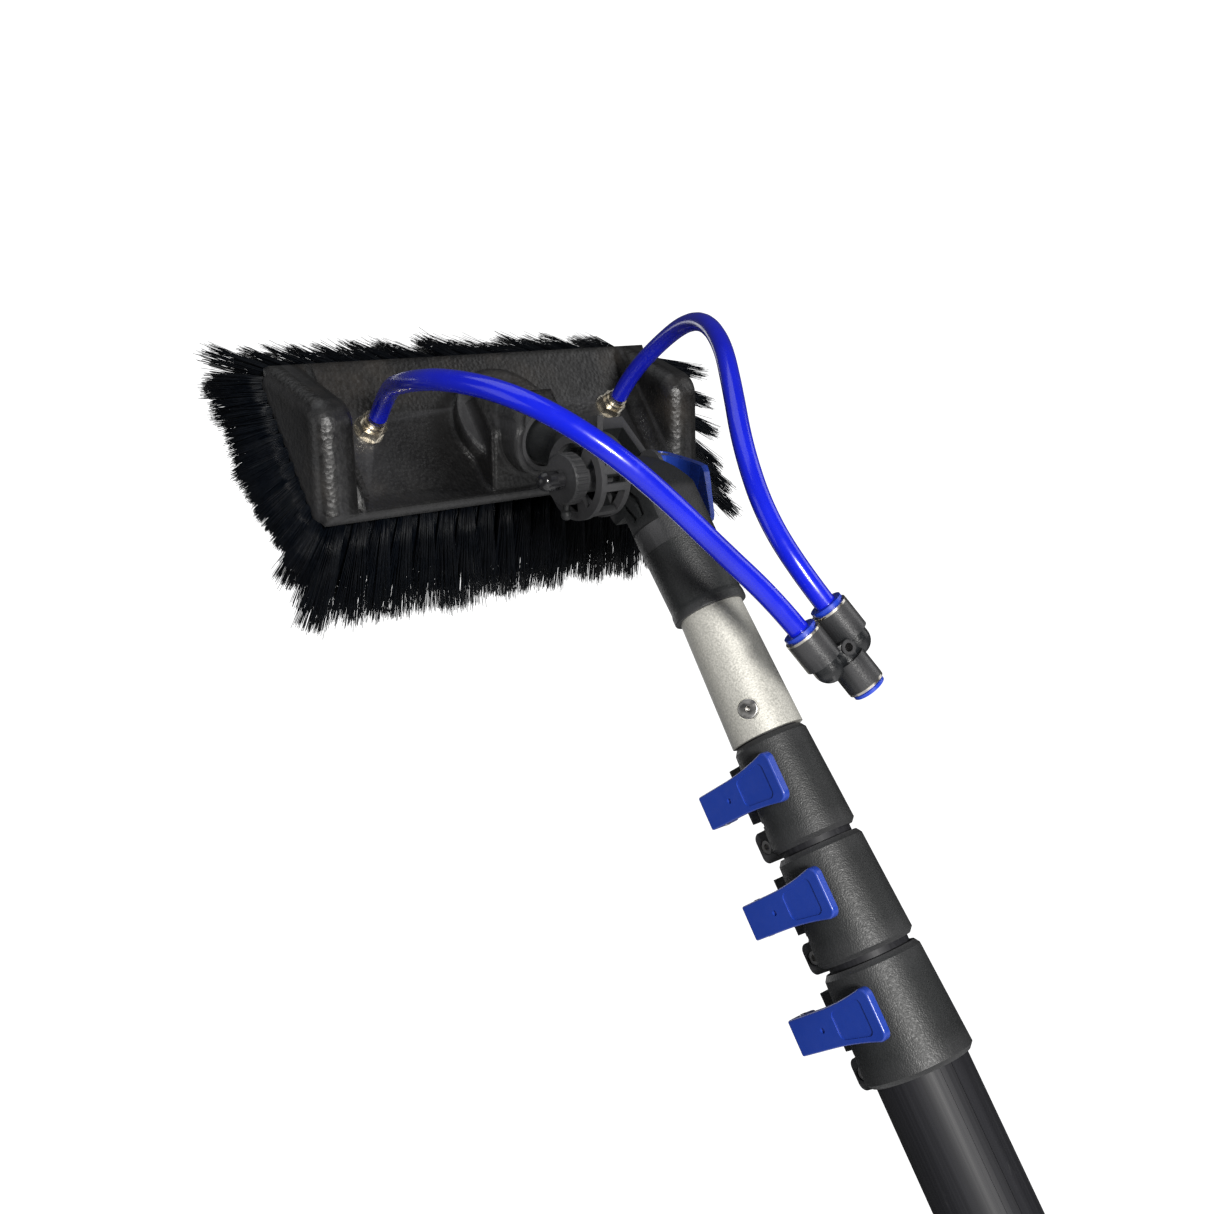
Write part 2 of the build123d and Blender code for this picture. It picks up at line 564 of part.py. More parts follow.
# ---- brush ------------------------------------------------------------------------------
def to_block(points):
    """Turn (y, height above the block's middle) points into (y, z)."""
    return [(y, BLOCK_Z + height) for y, height in points]


def wall_outline(x_low, x_high):
    """Peaked outline of an end wall carried along X."""
    half = BLOCK_HALF_WIDTH
    return side_profile(
        to_block([(BLOCK_FLOOR_Y + 4, 4.2 - half), (BLOCK_FLOOR_Y, -half - 1.8), (BLOCK_EDGE_Y, -half),
                  (BLOCK_RIDGE_Y, 0), (BLOCK_EDGE_Y, half), (BLOCK_FLOOR_Y, half + 1.8),
                  (BLOCK_FLOOR_Y + 4, half - 4.2)]),
        x_low, x_high,
    )


def end_wall(side):
    """One end wall with its rims rolled over and a cove down to the floor."""
    near = side * (BLOCK_HALF_LENGTH - 17.5)
    far = side * (BLOCK_HALF_LENGTH + 1.5)
    wall = wall_outline(min(near, far), max(near, far))
    wall = fillet(wall.edges().filter_by(Axis.X).group_by(Axis.Y)[0], RIDGE_ROUNDING)
    rims = wall.edges().filter_by(lambda edge: edge.center().Y < BLOCK_FLOOR_Y - 2.0)
    ends = rims.group_by(Axis.X)
    wall = fillet(ends[0] + ends[-1], WALL_ROUNDING)
    inside = near - side * COVE_RADIUS
    bottom = BLOCK_FLOOR_Y + 1.0
    bulge = COVE_RADIUS * (1 - cos(pi / 4))
    middle = (near - side * bulge, BLOCK_FLOOR_Y - bulge)
    cove = ThreePointArc((near, BLOCK_FLOOR_Y - COVE_RADIUS), middle, (inside, BLOCK_FLOOR_Y))
    cove += Polyline((inside, BLOCK_FLOOR_Y), (inside, bottom), (near + side, bottom),
                     (near + side, BLOCK_FLOOR_Y - COVE_RADIUS), (near, BLOCK_FLOOR_Y - COVE_RADIUS))
    cove = extrude(Plane.XY.offset(BLOCK_Z - 40) * make_face(cove), 80)
    return wall + (cove & wall_outline(min(inside, near + side), max(inside, near + side)))


def brush_block():
    """Roof-shaped moulded block: dished back, thick end walls and a hub for the stem."""
    half = BLOCK_HALF_WIDTH
    dish = side_profile(
        to_block([(BLOCK_EDGE_Y, -half), (BLOCK_FLOOR_Y, -half + 9), (BLOCK_FLOOR_Y, 11.5),
                  (BLOCK_EDGE_Y, half), (BLOCK_FLOOR_Y, half + 1.8), (BLOCK_FACE_Y, 18.0),
                  (BLOCK_FACE_Y, -18.0), (BLOCK_FLOOR_Y, -half - 1.8)]),
        -BLOCK_HALF_LENGTH, BLOCK_HALF_LENGTH,
    )
    body = dish
    for side in (-1, 1):
        body += end_wall(side)
    hub_axis = STEM_DIRECTION
    mouth = Vector(0, BOLT_Y, BOLT_Z) + hub_axis * 54.0
    hub = rod(mouth, mouth + hub_axis * 44.0, 17.5)
    hub += Pos(0, 76.0, BLOCK_Z - 2.0) * Rot(-90, 0, 0) * Cone(27.0, 22.0, 20.0)
    hub += side_profile(
        to_block([(78, -34.0), (71.0, -34.0), (56.0, -14.0), (56.0, 6.0), (78, 10.0)]), -21.0, 21.0)
    keep = side_profile(
        to_block([(44.0, -30.0), (44.0, 30.0), (88.0, 40.0), (88.0, -40.0)]), -40.0, 40.0)
    body += hub & keep
    body -= rod(mouth - hub_axis * 5, mouth + hub_axis * 31.0, HUB_BORE)
    for side in (-1, 1):
        body -= top_profile(
            [(side * 92.0, BLOCK_FACE_Y + 0.5), (side * 109.0, BLOCK_FACE_Y + 0.5),
             (side * 109.0, BLOCK_FACE_Y - 11.2)], BLOCK_Z - 45, BLOCK_Z + 45)
        body -= rod((side * JET_X, BLOCK_FLOOR_Y - 5, JET_Z), (side * JET_X, BLOCK_FACE_Y + 5, JET_Z), 4.0)
    return body


def hub_insert():
    """Threaded sleeve set in the hub for the stem."""
    mouth = Vector(0, BOLT_Y, BOLT_Z) + STEM_DIRECTION * 54.4
    insert = rod(mouth, mouth + STEM_DIRECTION * 30.6, HUB_BORE)
    return insert - rod(mouth - STEM_DIRECTION, mouth + STEM_DIRECTION * 32.0, 12.2)


def bristle_bed(name):
    """Plain envelope of the middle, top or bottom tufts."""
    half = BLOCK_HALF_WIDTH
    if name == "middle":
        points = to_block([(BLOCK_FACE_Y, -17.5), (BLOCK_FACE_Y, 17.5),
                           (BRISTLE_FRONT_Y, 26.0), (BRISTLE_FRONT_Y, -26.0)])
        bed = side_profile(points, -88.0, 88.0)
        for x in (-JET_X, JET_X):
            bed -= rod((x, BLOCK_FACE_Y, JET_Z), (x, BRISTLE_FRONT_Y, JET_Z), 7.5)
        return bed
    sign = 1 if name == "top" else -1
    points = to_block([
        (BLOCK_FLOOR_Y + 1.2, sign * (half + 0.4)), (BLOCK_FACE_Y - 0.6, sign * 19.0),
        (BRISTLE_FRONT_Y, sign * 34.0), (BRISTLE_FRONT_Y - 6.0, sign * 66.0),
        (BLOCK_FLOOR_Y + 22.0, sign * 71.0),
    ])
    return side_profile(points, -92.0, 92.0)


def bristle_end(side):
    """Plain envelope of the tufts that fan out at one end."""
    points = [
        (side * (BLOCK_HALF_LENGTH + 2.2), BLOCK_FLOOR_Y + 5.2), (side * 93.0, BLOCK_FACE_Y + 1.0),
        (side * 111.0, BRISTLE_FRONT_Y), (side * 131.0, BLOCK_FACE_Y + 20.0),
        (side * 136.0, BLOCK_FLOOR_Y + 8.0),
    ]
    return top_profile(points, BLOCK_Z - 62.0, BLOCK_Z + 62.0)


# ---- water fittings ---------------------------------------------------------------------


def jet_fitting(side):
    """Nickel-plated union: flange, hexagon and a stub that the hose pushes onto."""
    x = side * JET_X
    axis_plane = Plane(origin=(x, BLOCK_FLOOR_Y, JET_Z), z_dir=(0, -1, 0))
    fitting = extrude(axis_plane * Circle(7.0), 1.2)
    fitting += extrude(axis_plane.offset(1.2) * RegularPolygon(HEX_RADIUS, 6), 4.6)
    fitting += extrude(axis_plane.offset(5.8) * Circle(5.2), 2.4)
    fitting += extrude(axis_plane.offset(8.2) * Circle(4.6), 2.2)
    fitting += extrude(axis_plane.offset(10.4) * Circle(BARB_RADIUS), BLOCK_FLOOR_Y - 10.4 - BARB_TIP_Y)
    fitting += rod((x, BLOCK_FLOOR_Y, JET_Z), (x, BLOCK_FACE_Y + 4.0, JET_Z), 4.0)
    return fitting - rod((x, BARB_TIP_Y - 2, JET_Z), (x, BLOCK_FACE_Y + 6, JET_Z), 1.2)


def jet_nozzle(side):
    """Fan nozzle on the bristle side of the block."""
    x = side * JET_X
    nozzle = rod((x, BLOCK_FACE_Y, JET_Z), (x, BLOCK_FACE_Y + 7.5, JET_Z), 6.2)
    nozzle -= rod((x, BLOCK_FACE_Y - 1, JET_Z), (x, BLOCK_FACE_Y + 4.0, JET_Z), 4.0)
    nozzle -= rod((x, BLOCK_FACE_Y, JET_Z), (x, BLOCK_FACE_Y + 9.0, JET_Z), 0.8)
    return nozzle - block(x - 7, x + 7, BLOCK_FACE_Y + 6.2, BLOCK_FACE_Y + 9, JET_Z - 0.6, JET_Z + 0.6)


def tee_point(along, across, out=0.0):
    """Point in the water tee's own directions."""
    normal = TEE_AXIS.cross(TEE_ACROSS)
    return TEE_MOUTH + TEE_AXIS * along + TEE_ACROSS * across + normal * out


def tee_ports():
    """Mouth and inward direction of the three ports."""
    half = TEE_PITCH / 2
    return {
        "left": (tee_point(0, -half), TEE_AXIS),
        "right": (tee_point(0, half), TEE_AXIS),
        "supply": (tee_point(TEE_LENGTH, 0), TEE_AXIS * -1),
    }


def tee_body():
    """Push-fit Y: three barrels, two swept elbows and a tie hole."""
    half = TEE_PITCH / 2
    solid = rod(tee_point(20.0, 0), tee_point(TEE_LENGTH - COLLET_LIFT, 0), BARREL_OUTER)
    solid += rod(tee_point(13.0, 0), tee_point(21.0, 0), 5.4)
    solid += rod(tee_point(15.8, 0.9, -6.0), tee_point(15.8, 0.9, 6.0), 2.9)
    for side in (-1, 1):
        solid += rod(tee_point(COLLET_LIFT, side * half), tee_point(14.6, side * half), BARREL_OUTER)
        solid += rod(tee_point(14.6, side * half), tee_point(17.4, side * half), 5.9)
        solid += Pos(*tee_point(17.4, side * half)) * Sphere(5.9)
        solid += rod(tee_point(17.4, side * half), tee_point(18.4, 0), 4.9)
    solid -= rod(tee_point(15.8, 0.9, -8), tee_point(15.8, 0.9, 8), 1.6)
    for mouth, inward in tee_ports().values():
        solid -= rod(mouth, mouth + inward * 12.2, HOSE_RADIUS)
        solid -= rod(mouth, mouth + inward * 7.8, RING_BORE)
    for side in (-1, 1):
        solid -= rod(tee_point(12.0, side * half), tee_point(17.4, side * half), HOSE_BORE)
    return solid - rod(tee_point(20.5, 0), tee_point(TEE_LENGTH, 0), HOSE_BORE)


def tee_rings():
    """Thin steel retaining rings round the mouths of the barrels."""
    rings = []
    for mouth, inward in tee_ports().values():
        start = mouth + inward * (COLLET_LIFT - 0.9)
        band = rod(start, start + inward * 0.9, BARREL_OUTER - 0.05)
        rings.append(band - rod(start - inward, start + inward * 3, RING_BORE))
    return Compound(children=rings)


def tee_seals():
    """O-rings behind the collets."""
    seals = []
    for mouth, inward in tee_ports().values():
        seat = mouth + inward * 6.6
        seal = rod(seat, seat + inward * 1.2, RING_BORE)
        seals.append(seal - rod(seat - inward, seat + inward * 3, HOSE_RADIUS))
    return Compound(children=seals)


def tee_collet(name):
    """Release collet: flange outside, sprung skirt inside the barrel."""
    mouth, inward = tee_ports()[name]
    collet = rod(mouth, mouth + inward * 1.2, 6.4)
    collet += rod(mouth, mouth + inward * 5.2, 5.5)
    return collet - rod(mouth - inward, mouth + inward * 9, HOSE_RADIUS + 0.08)


def hose_route(name):
    """Free route of a hose from its jet to the tee, heights from the socket's lip."""
    if name == "left":
        side = -1
        middle = [
            (-69.3, 53.5, 139.3), (-74.0, 38.5, 136.0), (-85.5, 18.0, 124.6), (-97.0, -8.5, 110.0),
            (-102.5, -32.5, 95.2), (-100.5, -52.5, 78.5), (-92.7, -64.7, 61.2), (-79.4, -69.8, 41.8),
            (-62.7, -67.6, 23.1), (-43.0, -60.6, 3.7),
        ]
    else:
        side = 1
        middle = [
            (65.6, 48.5, 139.9), (60.9, 18.0, 137.3), (52.8, -8.3, 130.2), (40.9, -29.0, 116.3),
            (24.2, -45.5, 94.4), (7.1, -54.9, 69.3), (-7.2, -59.0, 41.3), (-13.9, -60.5, 12.8),
        ]
    mouth, inward = tee_ports()[name]
    route = [Vector(side * JET_X, HOSE_START_Y, JET_Z)]
    route += [Vector(x, y, LIP_Z + z) for x, y, z in middle]
    return route + [mouth - inward * HOSE_STRAIGHT, mouth + inward * HOSE_SEATED]


def hose(name):
    """Polyurethane hose along its route, pushed over the jet's barb."""
    points = hose_route(name)
    radii = []
    for before, here, after in zip(points, points[1:], points[2:]):
        inward = here - before
        outward = after - here
        half_turn = radians(inward.get_angle(outward)) / 2
        radii.append(0.45 * min(inward.length, outward.length) / tan(half_turn))
    path = FilletPolyline(*points, radius=radii)
    section = Plane(origin=points[0], z_dir=points[1] - points[0])
    tube = sweep(section * Circle(HOSE_RADIUS), path=path)
    print(name, "hose", round(path.length, 1), "mm, radii", [round(value, 1) for value in radii])
    print(name, "volume ratio", round(tube.volume / (pi * HOSE_RADIUS ** 2 * path.length), 4))
    return tube - rod((points[0].X, 80.0, JET_Z), (points[0].X, BARB_TIP_Y, JET_Z), BARB_RADIUS)


def build():
    """Make and save every node."""
    for index in range(4):
        save(f"pole_section_{index + 1}", tube_section(index))
    for index in range(3):
        save(f"guide_bush_{index + 1}", guide_bush(index))
        number = index + 1
        save(f"clamp_{number}_body", clamp_body(index))
        save(f"clamp_{number}_liner", clamp_liner(index))
        save(f"clamp_{number}_lever", clamp_lever(index))
        save(f"clamp_{number}_lever_pin", lever_pin(index))
        save(f"clamp_{number}_eye_bolt", tension_bolt(index))
        save(f"clamp_{number}_nut", tension_nut(index))
        save(f"clamp_{number}_cam_pad", cam_washer(index))
        save(f"clamp_{number}_lug_screw", lug_screw(index))
    save("base_cap", base_cap())
    save("head_sleeve", head_sleeve())
    save("sleeve_rivet", sleeve_rivet())
    save("head_cone_knuckle", head_lower())
    save("head_yoke", head_upper())
    save("cross_bolt", cross_bolt())
    save("barrel_nut", barrel_nut())
    save("adjusting_nut", knob_disc())
    save("cam_washer", cam_pad())
    save("cam_lever", cam_lever())
    save("brush_block", brush_block())
    save("hub_insert", hub_insert())
    save("bristles_top", bristle_bed("top"))
    save("bristles_bottom", bristle_bed("bottom"))
    save("bristles_middle", bristle_bed("middle"))
    save("bristles_left_end", bristle_end(-1))
    save("bristles_right_end", bristle_end(1))
    for side, name in ((-1, "left"), (1, "right")):
        save(f"jet_fitting_{name}", jet_fitting(side))
        save(f"jet_nozzle_{name}", jet_nozzle(side))
        save(f"hose_{name}", hose(name))
    save("tee_body", tee_body())
    save("tee_retaining_rings", tee_rings())
    save("tee_seals", tee_seals())
    for name in ("left", "right", "supply"):
        save(f"tee_collet_{name}", tee_collet(name))


build()
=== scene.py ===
"""Telescopic window-washing pole: camera, water hoses, bristles, materials and light."""
import json
import math
import random

import bpy
from mathutils import Matrix, Vector


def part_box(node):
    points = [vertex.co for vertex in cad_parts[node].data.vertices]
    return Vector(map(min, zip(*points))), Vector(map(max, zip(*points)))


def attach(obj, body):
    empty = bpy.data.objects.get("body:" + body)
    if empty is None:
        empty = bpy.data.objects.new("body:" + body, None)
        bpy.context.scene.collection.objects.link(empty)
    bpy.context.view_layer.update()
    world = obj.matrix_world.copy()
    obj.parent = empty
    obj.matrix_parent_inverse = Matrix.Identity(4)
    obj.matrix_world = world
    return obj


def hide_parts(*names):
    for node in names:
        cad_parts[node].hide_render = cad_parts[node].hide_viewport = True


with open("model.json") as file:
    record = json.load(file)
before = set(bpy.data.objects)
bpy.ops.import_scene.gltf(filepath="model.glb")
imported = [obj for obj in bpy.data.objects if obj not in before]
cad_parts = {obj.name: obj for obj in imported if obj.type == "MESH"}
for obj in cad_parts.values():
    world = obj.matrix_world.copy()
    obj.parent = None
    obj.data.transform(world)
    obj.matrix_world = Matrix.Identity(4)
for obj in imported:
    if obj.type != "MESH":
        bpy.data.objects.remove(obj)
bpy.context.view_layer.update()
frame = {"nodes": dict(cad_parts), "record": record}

# ---- places and sizes, m ----------------------------------------------------------------
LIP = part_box("head_cone_knuckle")[0][2]         # lower lip of the cone socket
BLOCK_LOW, BLOCK_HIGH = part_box("brush_block")
BLOCK_Z = (BLOCK_LOW[2] + BLOCK_HIGH[2]) / 2
BLOCK_HALF = BLOCK_HIGH[0]
FACE_Y = BLOCK_HIGH[1]                          # plateau of the block that the middle tufts stand on
JET_X = 0.068
JET_Z = BLOCK_Z + 0.004

HOSE_RADIUS = 0.004
HOSE_START_Y = 0.0646
HOSE_STRAIGHT = 0.013                           # last run before the tee
HOSE_SEATED = 0.0055                            # depth that a hose reaches into the tee
TEE_HALF_PITCH = 0.0074

FILAMENT = 0.0002                               # radius of one bristle
FILAMENT_TAPER = 0.45                           # share of the radius lost at the tip
TUFT_RADIUS = 0.0026
STRAY_SHARE = 0.05                              # part of the filaments that stand off their tuft
FLARED_COUNT = 150                              # filaments in each tuft of a flared bed
END_COUNT = 170                                 # and of an end bed
MIDDLE_COUNT = 70                               # and of the middle bed
FLOOR_REACH = 1.5


def lip(x, y, z):
    """Point given in millimetres from the socket's lip."""
    return Vector((x / 1000, y / 1000, LIP + z / 1000))


# ---- camera -----------------------------------------------------------------------------
CAMERA_AT = lip(-364.8, -374.8, -111.2)
CAMERA_RIGHT = Vector((0.7624, -0.5156, -0.3911))
CAMERA_UP = Vector((0.1651, -0.4294, 0.8879))


def make_camera():
    """Camera at the viewing angle of the photograph, rolled with it."""
    camera = bpy.data.objects.new("camera", bpy.data.cameras.new("camera"))
    bpy.context.scene.collection.objects.link(camera)
    right = CAMERA_RIGHT.normalized()
    back = right.cross(CAMERA_UP).normalized()
    up = back.cross(right)
    turn = Matrix((right, up, back)).transposed().to_4x4()
    camera.matrix_world = Matrix.Translation(CAMERA_AT) @ turn
    camera.data.sensor_width = 36.0
    camera.data.lens = 39.74
    camera.data.clip_start = 0.01
    bpy.context.scene.camera = camera


make_camera()


# ---- node helpers -----------------------------------------------------------------------
class Surface:
    """A procedural material with a few short-hands for its nodes."""

    def __init__(self, name, **sockets):
        self.material = bpy.data.materials.new(name)
        self.material.use_nodes = True
        self.nodes = self.material.node_tree.nodes
        self.links = self.material.node_tree.links
        self.shader = self.nodes["Principled BSDF"]
        self.coordinates = self.nodes.new("ShaderNodeTexCoord")
        self.height = None
        for socket, value in sockets.items():
            self.shader.inputs[socket.replace("_", " ")].default_value = value

    def mapped(self, stretch):
        """Object coordinates, stretched along the three axes."""
        node = self.nodes.new("ShaderNodeMapping")
        node.inputs["Scale"].default_value = stretch
        self.links.new(self.coordinates.outputs["Object"], node.inputs["Vector"])
        return node.outputs["Vector"]

    def noise(self, scale, detail=4.0, stretch=(1, 1, 1), roughness=0.5):
        """Cloudy noise, 0 to 1."""
        node = self.nodes.new("ShaderNodeTexNoise")
        node.inputs["Scale"].default_value = scale
        node.inputs["Detail"].default_value = detail
        node.inputs["Roughness"].default_value = roughness
        self.links.new(self.mapped(stretch), node.inputs["Vector"])
        return node.outputs["Fac"]

    def cells(self, scale):
        """Distance to the nearest of scattered points."""
        node = self.nodes.new("ShaderNodeTexVoronoi")
        node.inputs["Scale"].default_value = scale
        self.links.new(self.mapped((1, 1, 1)), node.inputs["Vector"])
        return node.outputs["Distance"]

    def ramp(self, factor, *stops):
        """Colour ramp over (position, colour) stops."""
        node = self.nodes.new("ShaderNodeValToRGB")
        while len(node.color_ramp.elements) < len(stops):
            node.color_ramp.elements.new(0.5)
        for element, (position, colour) in zip(node.color_ramp.elements, stops):
            element.position = position
            element.color = (*colour, 1.0)
        self.links.new(factor, node.inputs["Fac"])
        return node.outputs["Color"]

    def levels(self, factor, low, high, at_low, at_high):
        """Straight remap of a factor, held inside its ends."""
        node = self.nodes.new("ShaderNodeMapRange")
        node.inputs["From Min"].default_value = low
        node.inputs["From Max"].default_value = high
        node.inputs["To Min"].default_value = at_low
        node.inputs["To Max"].default_value = at_high
        self.links.new(factor, node.inputs["Value"])
        return node.outputs["Result"]

    def blend(self, factor, first, second):
        """Mix of two colours, each a socket or a plain colour."""
        node = self.nodes.new("ShaderNodeMix")
        node.data_type = "RGBA"
        for socket, value in ((node.inputs[0], factor), (node.inputs[6], first), (node.inputs[7], second)):
            if hasattr(value, "is_output"):
                self.links.new(value, socket)
            elif hasattr(value, "__len__"):
                socket.default_value = (*value, 1.0)
            else:
                socket.default_value = value
        return node.outputs[2]

    def edges(self, low=0.5, high=0.6):
        """1 on sharp convex edges, 0 elsewhere."""
        node = self.nodes.new("ShaderNodeNewGeometry")
        return self.levels(node.outputs["Pointiness"], low, high, 0.0, 1.0)

    def paint(self, colour):
        """Base colour from a socket."""
        self.links.new(colour, self.shader.inputs["Base Color"])

    def polish(self, roughness):
        """Roughness from a socket."""
        self.links.new(roughness, self.shader.inputs["Roughness"])

    def soften(self, radius):
        """Let hard edges catch the light as if they were rounded."""
        node = self.nodes.new("ShaderNodeBevel")
        node.samples = 4
        node.inputs["Radius"].default_value = radius
        self.height = node.outputs["Normal"]

    def emboss(self, height, distance, strength=1.0):
        """Stack one more bump on the surface."""
        node = self.nodes.new("ShaderNodeBump")
        node.inputs["Distance"].default_value = distance
        node.inputs["Strength"].default_value = strength
        self.links.new(height, node.inputs["Height"])
        if self.height is not None:
            self.links.new(self.height, node.inputs["Normal"])
        self.height = node.outputs["Normal"]
        self.links.new(self.height, self.shader.inputs["Normal"])


# ---- materials --------------------------------------------------------------------------
def grained_plastic(name, dark, light, grain, depth, gloss, dust=0.0, rounding=0.0):
    """Black moulding with a leathery grain, painted highlight specks, worn edges and an even haze of dust.
    """
    surface = Surface(name)
    if rounding:
        surface.soften(rounding)
    clouds = surface.noise(38.0, 5.0)
    colour = surface.ramp(clouds, (0.3, dark), (0.75, light))
    # painted highlight: pale specks in the base colour stand in for the grain's speckled glints
    highlight_specks = surface.noise(grain * 1.7, 2.0)
    colour = surface.blend(surface.levels(highlight_specks, 0.62, 0.78, 0.0, 0.35), colour, (0.05, 0.05, 0.052))
    if dust:
        film = surface.noise(21.0, 8.0, roughness=0.65)
        colour = surface.blend(surface.levels(film, 0.52, 0.8, 0.0, dust), colour, (0.085, 0.07, 0.056))
    worn = surface.blend(surface.edges(), colour, (0.035, 0.035, 0.037))
    surface.paint(worn)
    surface.polish(surface.levels(surface.noise(grain * 0.6, 3.0), 0.3, 0.7, gloss - 0.08, gloss + 0.1))
    surface.emboss(surface.cells(grain), depth, 0.7)
    surface.emboss(surface.noise(grain * 0.3, 4.0), depth * 1.6, 0.5)
    return surface.material


def blue_plastic(name, base, lighter, gloss):
    """Coloured moulding: faint flow marks and fine hairline scratches."""
    surface = Surface(name, Coat_Weight=0.25, Coat_Roughness=0.25)
    flow = surface.noise(26.0, 4.0, (1.0, 0.5, 1.0))
    colour = surface.ramp(flow, (0.25, base), (0.8, lighter))
    scratches = surface.noise(420.0, 3.0, (1.0, 0.06, 0.5))
    colour = surface.blend(surface.levels(scratches, 0.68, 0.8, 0.0, 0.3), colour, lighter)
    surface.paint(colour)
    surface.polish(surface.levels(surface.noise(300.0, 3.0), 0.3, 0.7, gloss - 0.06, gloss + 0.1))
    surface.emboss(surface.noise(900.0, 3.0), 0.00006, 0.5)
    surface.emboss(scratches, 0.00004, 0.4)
    return surface.material


def hose_plastic():
    """Glossy ultramarine polyurethane with a faint drawn texture."""
    surface = Surface("hose_polyurethane", Coat_Weight=0.4, Coat_Roughness=0.1, IOR=1.45)
    surface.shader.inputs["Subsurface Weight"].default_value = 0.06
    surface.shader.inputs["Subsurface Radius"].default_value = (0.0006, 0.001, 0.004)
    clouds = surface.noise(30.0, 4.0)
    colour = surface.ramp(clouds, (0.2, (0.003, 0.007, 0.38)), (0.8, (0.006, 0.014, 0.54)))
    scuffs = surface.noise(160.0, 5.0)
    colour = surface.blend(surface.levels(scuffs, 0.66, 0.8, 0.0, 0.3), colour, (0.06, 0.09, 0.85))
    surface.paint(colour)
    surface.polish(surface.levels(scuffs, 0.3, 0.75, 0.16, 0.32))
    surface.emboss(surface.noise(220.0, 3.0), 0.00008, 0.35)
    return surface.material


def blasted_aluminium():
    """Bead-blasted anodised sleeve: fine sparkle and a little handling grime."""
    surface = Surface("blasted_aluminium", Metallic=0.45)
    grain = surface.noise(1500.0, 2.0)
    colour = surface.ramp(grain, (0.3, (0.36, 0.355, 0.325)), (0.7, (0.56, 0.55, 0.505)))
    grime = surface.noise(55.0, 6.0, roughness=0.6)
    colour = surface.blend(surface.levels(grime, 0.6, 0.85, 0.0, 0.25), colour, (0.36, 0.34, 0.30))
    surface.paint(colour)
    surface.polish(surface.levels(grain, 0.25, 0.75, 0.48, 0.65))
    surface.emboss(grain, 0.0001, 0.6)
    surface.emboss(surface.cells(1100.0), 0.00008, 0.5)
    return surface.material


def black_anodised():
    """Satin black tube with drawing lines along its length and light scuffs."""
    surface = Surface("black_anodised", Metallic=0.1, Specular_IOR_Level=0.32)
    lines = surface.noise(700.0, 3.0, (1.0, 1.0, 0.012))
    colour = surface.ramp(lines, (0.3, (0.007, 0.007, 0.009)), (0.75, (0.015, 0.0153, 0.0185)))
    scuffs = surface.noise(90.0, 8.0, (1.0, 1.0, 0.35), 0.7)
    colour = surface.blend(surface.levels(scuffs, 0.62, 0.78, 0.0, 0.4), colour, (0.12, 0.12, 0.12))
    surface.paint(colour)
    surface.polish(surface.levels(lines, 0.3, 0.7, 0.5, 0.62))
    surface.emboss(lines, 0.00003, 0.4)
    return surface.material


def metal(name, bright, dull, gloss):
    """Turned or plated metal with fine tool marks and tarnish."""
    surface = Surface(name, Metallic=1.0)
    tarnish = surface.noise(260.0, 6.0, roughness=0.65)
    colour = surface.ramp(tarnish, (0.35, bright), (0.72, dull))
    surface.paint(surface.blend(surface.edges(0.52, 0.62), colour, bright))
    marks = surface.noise(600.0, 3.0, (1.0, 0.08, 1.0))
    surface.polish(surface.levels(marks, 0.3, 0.7, gloss - 0.06, gloss + 0.12))
    surface.emboss(marks, 0.00003, 0.5)
    return surface.material


def soft_rubber(name, tone):
    """Matt rubber with moulding flecks and pale dust."""
    surface = Surface(name, Roughness=0.75)
    colour = surface.ramp(surface.noise(60.0, 6.0), (0.3, tone), (0.8, tuple(c * 1.8 for c in tone)))
    surface.paint(surface.blend(surface.edges(), colour, (0.09, 0.09, 0.085)))
    surface.polish(surface.levels(surface.noise(500.0, 3.0), 0.3, 0.7, 0.6, 0.85))
    surface.emboss(surface.noise(1300.0, 3.0), 0.00012, 0.6)
    return surface.material


def pale_nylon():
    """Natural nylon, slightly mottled."""
    surface = Surface("pale_nylon", Roughness=0.45)
    surface.shader.inputs["Subsurface Weight"].default_value = 0.1
    surface.shader.inputs["Subsurface Radius"].default_value = (0.001, 0.001, 0.0008)
    mottle = surface.noise(80.0, 5.0)
    surface.paint(surface.ramp(mottle, (0.3, (0.55, 0.54, 0.49)), (0.75, (0.7, 0.69, 0.64))))
    surface.polish(surface.levels(surface.noise(400.0, 3.0), 0.3, 0.7, 0.4, 0.55))
    surface.emboss(surface.noise(900.0, 3.0), 0.00008, 0.5)
    return surface.material


def bristle_fibre():
    """Black polyester filament, blue-black, glossy along its length where it is clean."""
    surface = Surface("bristle_fibre", Specular_IOR_Level=0.16)
    strands = surface.noise(700.0, 2.0)
    surface.paint(surface.ramp(strands, (0.35, (0.0008, 0.0015, 0.003)), (0.75, (0.003, 0.0045, 0.0075))))
    surface.polish(surface.levels(surface.noise(120.0, 3.0), 0.35, 0.65, 0.3, 0.55))
    surface.emboss(surface.noise(2500.0, 2.0), 0.00003, 0.3)
    return surface.material


